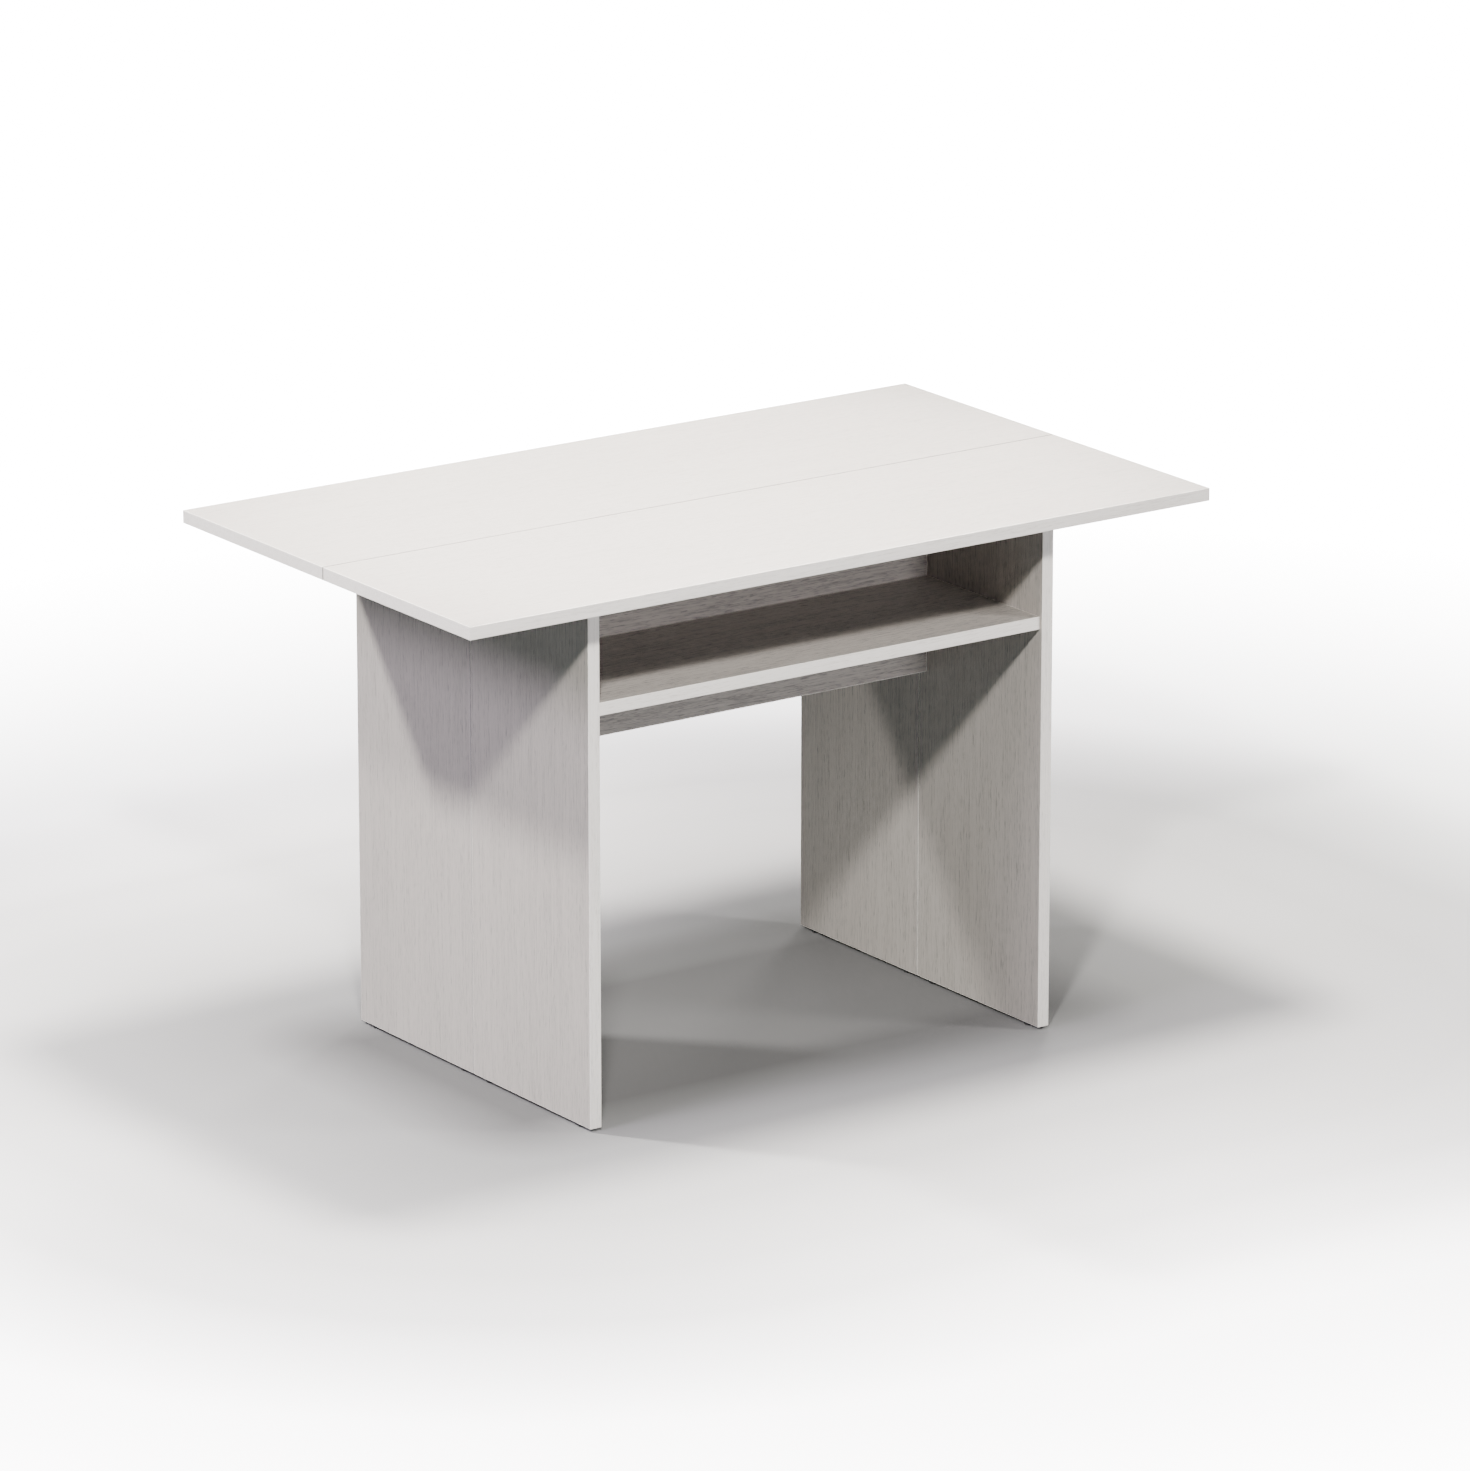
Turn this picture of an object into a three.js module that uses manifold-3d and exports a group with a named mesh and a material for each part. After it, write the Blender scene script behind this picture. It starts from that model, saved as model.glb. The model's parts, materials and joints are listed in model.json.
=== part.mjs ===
// Fold-over gateleg table in melamine-faced board.
//
// A fixed front half carries a leaf, two side panels, an apron and a shelf. Two gate panels
// carry on the line of the side panels and hold up the rear leaf. With the rear leaf flipped
// over onto the front leaf, the gates fold in flat behind the apron.
//
// Millimetres. +X runs along the table, +Y towards the rear leaf, +Z up. The origin is on the
// floor, under the middle of the open top.

import * as THREE from 'three';
import { mergeVertices } from 'three/addons/utils/BufferGeometryUtils.js';
import Module from 'manifold-3d';

const wasm = await Module();
wasm.setup();

// Driving dimensions of the boards.
const BOARD = 18; // thickness of every board
const TOP_LENGTH = 1200;
const LEAF_WIDTH = 350; // each of the two leaves
const TOP_HEIGHT = 745; // floor to the upper face of the leaves
const PANEL_SPREAD = 758; // over the outer faces of the side panels
const PANEL_WIDTH = 280; // fixed side panels, front to rear
const GATE_WIDTH = 280; // gate panels, front to rear
const GATE_LINE = 12.5; // how far the gate hinges stand in front of the leaf hinges
const APRON_HEIGHT = 277;
const SHELF_DROP = 139; // underside of the leaves to the upper face of the shelf
const SHELF_SETBACK = 5; // shelf front edge behind the front edge of the side panels

// Clearances.
const REST_GAP = 0.3; // between boards that are drawn tight together
const SEAM_GAP = 1; // between the edges of two boards that part
const FOLD_GAP = 0.5; // between the faces of the two leaves when they are folded
const GATE_HEADROOM = 0.8; // over the top edge of a gate
const FIT_GAP = 0.3; // round every fitting that is let into a board

// Concealed barrel hinges: a barrel let into each of the two board edges, joined by links.
const BARREL_RADIUS = 7;
const BARREL_LENGTH = 22;
const LINK_SPAN = THREE.MathUtils.degToRad(68); // each way from the seam
const LINK_THICKNESS = 2.6;
const LINK_SKIN = 0.9; // barrel material left outside the links
const LINK_DEPTH_SHARE = 0.55; // of the barrel's radius
const LEAF_HINGE_REACH = 420; // outer leaf hinges from the middle of the table
const GATE_HINGE_INSET = 120; // gate hinges from the ends of the gate

// Cam fittings: a steel bolt in the face of one board, and a cam in the board that butts on it.
const CAM_RADIUS = 7.5;
const CAM_FLOOR = 0.6; // cam material past the head of the bolt
const CAM_RECESS = 0.3; // cap below the face of the board
const CAM_REACH = 24; // cam centre from the end of its board
const DRIVE_LENGTH = 8; // cross recess in the cap
const DRIVE_WIDTH = 1.6;
const DRIVE_DEPTH = 2.4;
const BOLT_THREAD_RADIUS = 2.6;
const BOLT_THREAD_DEPTH = 10.5;
const BOLT_SHANK_RADIUS = 3;
const BOLT_NECK_RADIUS = 1.8;
const BOLT_HEAD_RADIUS = 3.2;
const BOLT_HEAD_LENGTH = 3;
const SHELF_BOLT_INSET = 45; // from the front and rear edges of the shelf
const APRON_BOLT_INSET = 40; // from the upper and lower edges of the apron
const TOP_BOLT_REACH = 200; // apron-to-leaf bolts from the middle of the table

// Floor glides, pegged into the bottom edges.
const GLIDE_HEIGHT = 4;
const GLIDE_MARGIN = 1; // board edge left bare on each side of a glide
const GLIDE_CHAMFER = 1;
const PEG_RADIUS = 2;
const PEG_LENGTH = 16;
const GLIDE_INSET = 30; // from the front and rear edges of a panel

const BARREL_SIDES = 16;
const CAM_SIDES = 16;
const BOLT_SIDES = 8;
const GLIDE_SIDES = 12;
const ARC_STEPS = 6;
const OVERCUT = 1; // how far a cutter runs out of the face that it starts from

// Levels and planes that follow from the driving dimensions.
const halfLength = TOP_LENGTH / 2;
const leafBottom = TOP_HEIGHT - BOARD;
const frameTop = leafBottom - REST_GAP;
const panelOuter = PANEL_SPREAD / 2;
const panelInner = panelOuter - BOARD;
const panelMiddle = panelOuter - BOARD / 2;
const panelRear = -GATE_LINE - SEAM_GAP / 2;
const panelFront = panelRear - PANEL_WIDTH;
const gateFront = -GATE_LINE + SEAM_GAP / 2;
const gateRear = gateFront + GATE_WIDTH;
const apronRear = panelRear;
const apronMiddle = apronRear - BOARD / 2;
const apronFront = apronRear - BOARD;
const apronBottom = leafBottom - APRON_HEIGHT;
const shelfFront = panelFront + SHELF_SETBACK;
const shelfRear = apronFront - REST_GAP;
const shelfTop = leafBottom - SHELF_DROP;
const shelfMiddle = shelfTop - BOARD / 2;
const leafMiddle = TOP_HEIGHT - BOARD / 2;
const leafEdge = SEAM_GAP / 2;

const leafHingePlaces = { left: -LEAF_HINGE_REACH, centre: 0, right: LEAF_HINGE_REACH };
const gateHingeHeights = {
  upper: leafBottom - GATE_HEADROOM - GATE_HINGE_INSET,
  lower: GLIDE_HEIGHT + GATE_HINGE_INSET,
};
const shelfBoltPlaces = { front: shelfFront + SHELF_BOLT_INSET, rear: shelfRear - SHELF_BOLT_INSET };
const apronBoltHeights = {
  upper: frameTop - APRON_BOLT_INSET,
  lower: apronBottom + APRON_BOLT_INSET,
};
const sides = { left: -1, right: 1 };

const MATERIALS = {
  board: new THREE.MeshStandardMaterial({ color: 0xdedad5, roughness: 0.55, metalness: 0 }),
  steel: new THREE.MeshStandardMaterial({ color: 0xb4b6b8, roughness: 0.35, metalness: 1 }),
  zinc: new THREE.MeshStandardMaterial({ color: 0x9b9da0, roughness: 0.5, metalness: 1 }),
  brass: new THREE.MeshStandardMaterial({ color: 0xb7a06a, roughness: 0.35, metalness: 1 }),
  plastic: new THREE.MeshStandardMaterial({ color: 0x2c2c2e, roughness: 0.6, metalness: 0 }),
};

const table = new THREE.Group();

// --- Solids ---------------------------------------------------------------------------------

// A closed geometry as a solid, for cutting and joining.
function toSolid(geometry) {
  const bare = geometry.clone();
  bare.deleteAttribute('normal');
  bare.deleteAttribute('uv');
  const merged = mergeVertices(bare, 1e-4);
  const index = merged.getIndex().array;
  const triangles = [];
  for (let i = 0; i < index.length; i += 3) {
    const [a, b, c] = index.slice(i, i + 3);
    if (a !== b && b !== c && c !== a) {
      triangles.push(a, b, c);
    }
  }
  return new wasm.Manifold(new wasm.Mesh({
    numProp: 3,
    vertProperties: new Float32Array(merged.getAttribute('position').array),
    triVerts: new Uint32Array(triangles),
  }));
}

function toGeometry(solid) {
  const mesh = solid.getMesh();
  const geometry = new THREE.BufferGeometry();
  geometry.setAttribute('position', new THREE.BufferAttribute(mesh.vertProperties, 3));
  geometry.setIndex(new THREE.BufferAttribute(mesh.triVerts, 1));
  geometry.computeVertexNormals();
  return geometry;
}

function cut(solid, cutters) {
  return cutters.reduce((rest, cutter) => rest.subtract(cutter), solid);
}

function block(low, high) {
  const size = new THREE.Vector3().subVectors(high, low);
  const geometry = new THREE.BoxGeometry(size.x, size.y, size.z);
  geometry.translate((low.x + high.x) / 2, (low.y + high.y) / 2, (low.z + high.z) / 2);
  return toSolid(geometry);
}

// A round rod from one point to another, along X, Y or Z.
function rod(radius, from, to, segments) {
  const along = new THREE.Vector3().subVectors(to, from);
  const geometry = new THREE.CylinderGeometry(radius, radius, along.length(), segments);
  geometry.applyQuaternion(
    new THREE.Quaternion().setFromUnitVectors(new THREE.Vector3(0, 1, 0), along.clone().normalize()),
  );
  geometry.translate((from.x + to.x) / 2, (from.y + to.y) / 2, (from.z + to.z) / 2);
  return toSolid(geometry);
}

// A turned piece. The profile's points are [radius, place along the axis], from end to end.
function turned(profile, segments) {
  const points = profile.map(([radius, along]) => new THREE.Vector2(radius, along));
  return toSolid(new THREE.LatheGeometry(points, segments));
}

// A plate bounded by two arcs about the local Z axis, centred on the local X axis.
function arcPlate(inner, outer, span, thickness) {
  const shape = new THREE.Shape();
  shape.absarc(0, 0, outer, -span, span, false);
  shape.absarc(0, 0, inner, span, -span, true);
  const geometry = new THREE.ExtrudeGeometry(shape, {
    depth: thickness,
    bevelEnabled: false,
    curveSegments: ARC_STEPS,
  });
  geometry.translate(0, 0, -thickness / 2);
  return toSolid(geometry);
}

function addMesh(parent, name, solid, material) {
  const mesh = new THREE.Mesh(toGeometry(solid), MATERIALS[material].clone());
  mesh.name = name;
  parent.add(mesh);
  return mesh;
}

const point = (x, y, z) => new THREE.Vector3(x, y, z);

// A blind hole that starts at a point on a face and goes in the given direction.
function bore(radius, mouth, direction, depth, segments) {
  const outside = mouth.clone().addScaledVector(direction, -OVERCUT);
  const end = mouth.clone().addScaledVector(direction, depth);
  return rod(radius, outside, end, segments);
}

// --- Barrel hinges --------------------------------------------------------------------------
// A hinge's own frame: the turning axis is Z, X goes into the thickness of the boards, and Y
// runs from the fixed board to the moving one.

const linkInner = (BOARD / 2 - BARREL_RADIUS + LINK_SKIN) / Math.cos(LINK_SPAN);
const linkOuter = linkInner + BARREL_RADIUS * LINK_DEPTH_SHARE;

function barrel(side, axisDepth, stackThickness) {
  const face = side * SEAM_GAP / 2;
  const solid = rod(
    BARREL_RADIUS,
    point(axisDepth, face, 0),
    point(axisDepth, face + side * BARREL_LENGTH, 0),
    BARREL_SIDES,
  );
  const slot = arcPlate(
    linkInner - FIT_GAP,
    linkOuter + FIT_GAP,
    LINK_SPAN + FIT_GAP / linkInner,
    stackThickness + 2 * FIT_GAP,
  );
  return cut(solid, [slot]);
}

function addHinge(frame, name, names, axisDepth) {
  const links = names.links;
  const pitch = LINK_THICKNESS + FIT_GAP;
  const stackThickness = links.length * pitch - FIT_GAP;
  addMesh(frame, `${name}_${names.fixed}`, barrel(-1, axisDepth, stackThickness), 'brass');
  addMesh(frame, `${name}_${names.moving}`, barrel(1, axisDepth, stackThickness), 'brass');
  links.forEach((link, i) => {
    const plate = arcPlate(linkInner, linkOuter, LINK_SPAN, LINK_THICKNESS);
    const mesh = addMesh(frame, `${name}_${link}`, plate, 'steel');
    mesh.position.z = (i - (links.length - 1) / 2) * pitch;
  });
}

// A group whose X, Y and Z axes point along the given directions of the table.
function framed(origin, xAxis, yAxis) {
  const group = new THREE.Group();
  const zAxis = new THREE.Vector3().crossVectors(xAxis, yAxis);
  group.quaternion.setFromRotationMatrix(new THREE.Matrix4().makeBasis(xAxis, yAxis, zAxis));
  group.position.copy(origin);
  table.add(group);
  return group;
}

const RIGHT = point(1, 0, 0);
const LEFT = point(-1, 0, 0);
const REARWARD = point(0, 1, 0);
const FORWARD = point(0, -1, 0);
const UP = point(0, 0, 1);
const DOWN = point(0, 0, -1);

function barrelBore(mouth, direction) {
  return bore(BARREL_RADIUS + FIT_GAP, mouth, direction, BARREL_LENGTH + FIT_GAP, BARREL_SIDES);
}

// --- Cam fittings ---------------------------------------------------------------------------
// A fitting's own frame: X runs from the face that the bolt is screwed into towards the cam,
// and Z points out of the face that the cam is let into, from the middle of that board.

const camCap = BOARD / 2 - CAM_RECESS;
const camFoot = -BOLT_HEAD_RADIUS - CAM_FLOOR;

function camBolt() {
  const shankEnd = CAM_REACH - CAM_RADIUS - FIT_GAP;
  const headStart = CAM_REACH - BOLT_HEAD_LENGTH / 2;
  const profile = [
    [0, -BOLT_THREAD_DEPTH],
    [BOLT_THREAD_RADIUS, -BOLT_THREAD_DEPTH],
    [BOLT_THREAD_RADIUS, FIT_GAP],
    [BOLT_SHANK_RADIUS, FIT_GAP],
    [BOLT_SHANK_RADIUS, shankEnd],
    [BOLT_NECK_RADIUS, shankEnd],
    [BOLT_NECK_RADIUS, headStart],
    [BOLT_HEAD_RADIUS, headStart],
    [BOLT_HEAD_RADIUS, headStart + BOLT_HEAD_LENGTH],
    [0, headStart + BOLT_HEAD_LENGTH],
  ];
  return turned(profile, BOLT_SIDES).rotate([0, 0, -90]);
}

function cam() {
  const foot = point(CAM_REACH, 0, camFoot);
  const body = rod(CAM_RADIUS, foot, point(CAM_REACH, 0, camCap), CAM_SIDES);
  const headRoom = BOLT_HEAD_RADIUS + FIT_GAP;
  const neckRoom = BOLT_NECK_RADIUS + FIT_GAP;
  const headHalf = BOLT_HEAD_LENGTH / 2 + FIT_GAP;
  const headPocket = block(
    point(CAM_REACH - headHalf, -headRoom, camFoot - OVERCUT),
    point(CAM_REACH + headHalf, headRoom, headRoom),
  );
  const neckSlot = block(
    point(CAM_REACH - CAM_RADIUS - OVERCUT, -neckRoom, camFoot - OVERCUT),
    point(CAM_REACH, neckRoom, neckRoom),
  );
  const halfDrive = DRIVE_LENGTH / 2;
  const halfWidth = DRIVE_WIDTH / 2;
  const driveFloor = camCap - DRIVE_DEPTH;
  const driveTop = camCap + OVERCUT;
  const driveAlong = block(
    point(CAM_REACH - halfDrive, -halfWidth, driveFloor),
    point(CAM_REACH + halfDrive, halfWidth, driveTop),
  );
  const driveAcross = block(
    point(CAM_REACH - halfWidth, -halfDrive, driveFloor),
    point(CAM_REACH + halfWidth, halfDrive, driveTop),
  );
  return cut(body, [headPocket, neckSlot, driveAlong, driveAcross]);
}

function addCamFitting(name, origin, inward, outward) {
  const frame = framed(origin, inward, new THREE.Vector3().crossVectors(outward, inward));
  addMesh(frame, `${name}_bolt`, camBolt(), 'steel');
  addMesh(frame, `${name}_cam`, cam(), 'zinc');
}

// What a cam fitting needs in the board that carries the cam.
function camCutters(origin, inward, outward) {
  const centre = origin.clone().addScaledVector(inward, CAM_REACH);
  const face = centre.clone().addScaledVector(outward, BOARD / 2);
  const pocketDepth = BOARD / 2 - camFoot + FIT_GAP;
  const into = outward.clone().negate();
  const pocket = bore(CAM_RADIUS + FIT_GAP, face, into, pocketDepth, CAM_SIDES);
  const shankHole = bore(BOLT_SHANK_RADIUS + FIT_GAP, origin, inward, CAM_REACH, BOLT_SIDES);
  return [pocket, shankHole];
}

// What it needs in the board that the bolt is screwed into.
function threadCutter(origin, inward) {
  const depth = BOLT_THREAD_DEPTH + FIT_GAP;
  return bore(BOLT_THREAD_RADIUS + FIT_GAP, origin, inward.clone().negate(), depth, BOLT_SIDES);
}

// --- Places of the fittings -----------------------------------------------------------------

// Bolts in the inner face of one side panel that hold the shelf and the apron.
function sideFittings(side, name) {
  const inward = side > 0 ? LEFT : RIGHT;
  const fittings = [];
  for (const [place, y] of Object.entries(shelfBoltPlaces)) {
    const origin = point(side * panelInner, y, shelfMiddle);
    fittings.push({ name: `shelf_${name}_${place}`, board: 'shelf', origin, inward, outward: DOWN });
  }
  for (const [place, z] of Object.entries(apronBoltHeights)) {
    const origin = point(side * panelInner, apronMiddle, z);
    fittings.push({ name: `apron_${name}_${place}`, board: 'apron', origin, inward, outward: REARWARD });
  }
  return fittings;
}

const fittingsOf = {
  left: sideFittings(sides.left, 'left'),
  right: sideFittings(sides.right, 'right'),
  top: Object.entries(sides).map(([name, side]) => ({
    name: `apron_top_${name}`,
    board: 'apron',
    origin: point(side * TOP_BOLT_REACH, apronMiddle, leafBottom),
    inward: DOWN,
    outward: REARWARD,
  })),
};
const allFittings = Object.values(fittingsOf).flat();

function cuttersFor(board) {
  return allFittings
    .filter((fitting) => fitting.board === board)
    .flatMap((fitting) => camCutters(fitting.origin, fitting.inward, fitting.outward));
}

function threadsFor(fittings) {
  return fittings.map((fitting) => threadCutter(fitting.origin, fitting.inward));
}

// --- Boards ---------------------------------------------------------------------------------

function addBoard(name, low, high, cutters) {
  addMesh(table, name, cut(block(low, high), cutters), 'board');
}

function addLeaves() {
  const edges = Object.values(leafHingePlaces);
  const frontBores = edges.map((x) => barrelBore(point(x, -leafEdge, leafMiddle), FORWARD));
  const rearBores = edges.map((x) => barrelBore(point(x, leafEdge, leafMiddle), REARWARD));
  addBoard(
    'front_leaf',
    point(-halfLength, -leafEdge - LEAF_WIDTH, leafBottom),
    point(halfLength, -leafEdge, TOP_HEIGHT),
    [...frontBores, ...threadsFor(fittingsOf.top)],
  );
  addBoard(
    'rear_leaf',
    point(-halfLength, leafEdge, leafBottom),
    point(halfLength, leafEdge + LEAF_WIDTH, TOP_HEIGHT),
    rearBores,
  );
}

function pegBores(side, places) {
  return places.map((y) => bore(
    PEG_RADIUS + FIT_GAP,
    point(side * panelMiddle, y, GLIDE_HEIGHT),
    UP,
    PEG_LENGTH + FIT_GAP,
    GLIDE_SIDES,
  ));
}

const panelGlides = { front: panelFront + GLIDE_INSET, rear: panelRear - GLIDE_INSET };
const gateGlides = { front: gateFront + GLIDE_INSET, rear: gateRear - GLIDE_INSET };

function addPanels(side, name) {
  const low = Math.min(side * panelInner, side * panelOuter);
  const high = low + BOARD;
  const heights = Object.values(gateHingeHeights);
  const hingeMouths = (y) => heights.map((z) => point(side * panelMiddle, y, z));
  addBoard(
    `${name}_side_panel`,
    point(low, panelFront, GLIDE_HEIGHT),
    point(high, panelRear, frameTop),
    [
      ...hingeMouths(panelRear).map((mouth) => barrelBore(mouth, FORWARD)),
      ...threadsFor(fittingsOf[name]),
      ...pegBores(side, Object.values(panelGlides)),
    ],
  );
  addBoard(
    `${name}_gate_panel`,
    point(low, gateFront, GLIDE_HEIGHT),
    point(high, gateRear, leafBottom - GATE_HEADROOM),
    [
      ...hingeMouths(gateFront).map((mouth) => barrelBore(mouth, REARWARD)),
      ...pegBores(side, Object.values(gateGlides)),
    ],
  );
}

function addApronAndShelf() {
  const end = panelInner - REST_GAP;
  addBoard(
    'apron',
    point(-end, apronFront, apronBottom),
    point(end, apronRear, frameTop),
    cuttersFor('apron'),
  );
  addBoard(
    'shelf',
    point(-end, shelfFront, shelfTop - BOARD),
    point(end, shelfRear, shelfTop),
    cuttersFor('shelf'),
  );
}

// --- Hinges, glides and fittings in place ---------------------------------------------------

function addLeafHinges() {
  const names = { fixed: 'front_barrel', moving: 'rear_barrel', links: ['first_link', 'second_link'] };
  for (const [place, x] of Object.entries(leafHingePlaces)) {
    const axis = point(x, 0, TOP_HEIGHT + FOLD_GAP / 2);
    addHinge(framed(axis, DOWN, REARWARD), `leaf_hinge_${place}`, names, BOARD / 2 + FOLD_GAP / 2);
  }
}

function addGateHinges(side, name) {
  const names = { fixed: 'panel_barrel', moving: 'gate_barrel', links: ['link'] };
  const outward = side > 0 ? RIGHT : LEFT;
  for (const [place, z] of Object.entries(gateHingeHeights)) {
    const axis = point(side * panelInner, -GATE_LINE, z);
    addHinge(framed(axis, outward, REARWARD), `${name}_hinge_${place}`, names, BOARD / 2);
  }
}

function glide() {
  const radius = BOARD / 2 - GLIDE_MARGIN;
  const profile = [
    [0, 0],
    [radius - GLIDE_CHAMFER, 0],
    [radius, GLIDE_CHAMFER],
    [radius, GLIDE_HEIGHT - FIT_GAP],
    [PEG_RADIUS, GLIDE_HEIGHT - FIT_GAP],
    [PEG_RADIUS, GLIDE_HEIGHT + PEG_LENGTH],
    [0, GLIDE_HEIGHT + PEG_LENGTH],
  ];
  return turned(profile, GLIDE_SIDES).rotate([90, 0, 0]);
}

function addGlides(side, name) {
  const rows = { panel: panelGlides, gate: gateGlides };
  for (const [row, places] of Object.entries(rows)) {
    for (const [place, y] of Object.entries(places)) {
      const mesh = addMesh(table, `${name}_${row}_${place}_glide`, glide(), 'plastic');
      mesh.position.set(side * panelMiddle, y, 0);
    }
  }
}

addLeaves();
addApronAndShelf();
addLeafHinges();
for (const [name, side] of Object.entries(sides)) {
  addPanels(side, name);
  addGateHinges(side, name);
  addGlides(side, name);
}
for (const fitting of allFittings) {
  addCamFitting(fitting.name, fitting.origin, fitting.inward, fitting.outward);
}

export default table;
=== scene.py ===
"""A fold-over gateleg table in whitewashed wood-grain board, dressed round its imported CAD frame.

Every length is in metres, in the frame's own axes: +X along the table, +Y towards the rear leaf
and +Z up from the floor.
"""

import json
import math

import bmesh
import bpy
from mathutils import Matrix, Vector


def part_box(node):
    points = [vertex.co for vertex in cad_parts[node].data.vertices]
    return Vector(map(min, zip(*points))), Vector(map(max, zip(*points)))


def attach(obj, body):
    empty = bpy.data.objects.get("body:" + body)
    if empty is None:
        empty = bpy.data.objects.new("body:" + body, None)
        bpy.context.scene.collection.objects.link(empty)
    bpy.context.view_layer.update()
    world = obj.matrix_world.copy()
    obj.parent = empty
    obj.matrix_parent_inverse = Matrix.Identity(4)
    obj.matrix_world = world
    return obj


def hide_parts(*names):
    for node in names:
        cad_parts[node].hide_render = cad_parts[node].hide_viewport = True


MM = 0.001

# --- Camera and stage -------------------------------------------------------------------------

CAMERA_AZIMUTH = -35.02
CAMERA_ELEVATION = 16.63
CAMERA_DISTANCE = 11.879
CAMERA_TARGET = Vector((0.0348, -0.0357, 0.4147))
SENSOR = 36.0
LENS = 214.0
FLOOR_HALF = 40.0

KEY_COLOUR = (1.0, 0.975, 0.94)
FILL_COLOUR = (1.0, 0.92, 1.08)
SHADE_COLOUR = (1.0, 0.965, 1.0)
TOP_COLOUR = (1.0, 0.95, 0.90)

MIDDLE = (0.0, 0.0, 0.4)
LEFT_FLOOR = (-1.1, 0.0, 0.35)

# Lamps: name, place, width across, power in watts, where it points, cone in degrees and its soft
# share if it is a spot, and colour.
LAMPS = (
    ("left_rear_spot", (-1.89, 1.88, 2.79), 0.25, 1060, LEFT_FLOOR, (54, 1.0), KEY_COLOUR),
    ("left_front_box", (-1.85, -2.38, 2.74), 0.25, 160, MIDDLE, None, KEY_COLOUR),
    ("right_rear_box", (2.30, 1.88, 2.79), 0.60, 70, MIDDLE, None, KEY_COLOUR),
    ("right_front_box", (2.35, -2.38, 2.74), 0.60, 85, MIDDLE, None, KEY_COLOUR),
    ("overhead_spot", (0.12, -0.04, 2.75), 0.50, 960, MIDDLE, (50, 0.5), TOP_COLOUR),
    ("front_fill", (0.6, -5.7, 1.3), 1.60, 155, MIDDLE, None, SHADE_COLOUR),
    ("left_fill", (-5.2, -0.5, 3.8), 2.00, 275, MIDDLE, None, FILL_COLOUR),
    ("right_fill", (6.0, 0.5, 1.2), 2.40, 60, MIDDLE, None, KEY_COLOUR),
    ("rear_fill", (3.0, 5.0, 1.3), 1.60, 120, MIDDLE, None, KEY_COLOUR),
)
WORLD_COLOUR = (0.90, 0.98, 1.0, 1.0)
WORLD_LIGHT = 0.035
PURE_WHITE = (1.0, 1.0, 1.0, 1.0)
WHITE = 20.0  # radiance that shows as pure white

# The floor, by distance from a box under the object. Its tone is painted shade, darkest under the object and
# rising up to FLOOR_PEAK over FLOOR_REACH, and between the two distances of FLOOR_GLOW it whitens away.
# FLOOR_BOUNCE is what it throws back up.
FLOOR_BOX = (0.42, 0.20, 0.0)
FLOOR_REACH = 1.25
FLOOR_PEAK = 2.6
FLOOR_PAINTED_SHADE = (
    (0.0, 0.054), (0.06, 0.085), (0.13, 0.13), (0.32, 0.17),
    (0.48, 0.25), (0.62, 0.38), (0.78, 0.72), (0.9, 1.0),
)
FLOOR_GLOW = (0.9, 3.2)
FLOOR_BOUNCE = (0.11, 0.125, 0.13, 1.0)

# --- Boards -----------------------------------------------------------------------------------

BAND = 1.0 * MM  # thickness of the edge banding
BAND_ROUND = 0.8 * MM  # radius of its arrises
BAND_JOINT = 0.08 * MM  # open line between banding and board
BAND_GRAIN = 1.1  # how strongly its grain shows
BAND_START = 1.0  # how far its pattern starts from its board's
JOINT_GRAIN = 0.5  # how strongly the grain shows in the painted seam shade on the arrises at a joint
JOINT_START = 4.0  # where their pattern starts
ARRIS_LEAN = 0.9  # an arris face leans less than this towards the joint, and the joint face more; these arrises carry the painted seam shade
FACE_ROUND = 0.12 * MM
FIT_GAP = 0.3 * MM  # round every fitting that is let into a board
ROUND_SIDES = 64
SMOOTH_ANGLE = math.radians(40)  # a sharper edge than this stays sharp

# Board: grain direction, how strongly the grain shows, where its pattern starts, and how light it is. That
# lightness is painted shade for the shelf, apron and right panels, which sit in shade, and painted light for the
# lit left panels.
BOARDS = {
    "front_leaf": ("X", 0.45, 0.0, 0.985),
    "rear_leaf": ("X", 0.45, 3.1, 0.985),
    "shelf": ("X", 1.3, 6.3, 0.78),
    "apron": ("X", 1.5, 9.2, 0.79),
    "left_side_panel": ("Z", 0.65, 12.7, 1.03),
    "right_side_panel": ("Z", 0.8, 15.4, 0.93),
    "left_gate_panel": ("Z", 0.65, 18.8, 1.03),
    "right_gate_panel": ("Z", 0.8, 21.5, 0.93),
}

# Which side of a board, along Y, meets its neighbour.
JOINT_SIDE = {
    "front_leaf": 1,
    "rear_leaf": -1,
    "left_side_panel": 1,
    "right_side_panel": 1,
    "left_gate_panel": -1,
    "right_gate_panel": -1,
}

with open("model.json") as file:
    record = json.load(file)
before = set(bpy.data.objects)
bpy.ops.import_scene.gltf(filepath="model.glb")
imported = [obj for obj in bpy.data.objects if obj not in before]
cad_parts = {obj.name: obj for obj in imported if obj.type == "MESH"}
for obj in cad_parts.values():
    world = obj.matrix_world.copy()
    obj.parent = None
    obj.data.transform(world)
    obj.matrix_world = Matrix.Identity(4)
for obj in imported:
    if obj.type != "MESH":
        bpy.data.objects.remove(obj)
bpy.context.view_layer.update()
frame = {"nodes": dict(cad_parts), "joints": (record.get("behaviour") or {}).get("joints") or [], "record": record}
body_of_node = {
    node: body
    for body, nodes in frame["record"]["behaviour"]["bodies"].items()
    for node in nodes
}


def node_names(*endings):
    return [name for name in sorted(frame["nodes"]) if name.endswith(endings)]


# --- Materials --------------------------------------------------------------------------------


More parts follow.
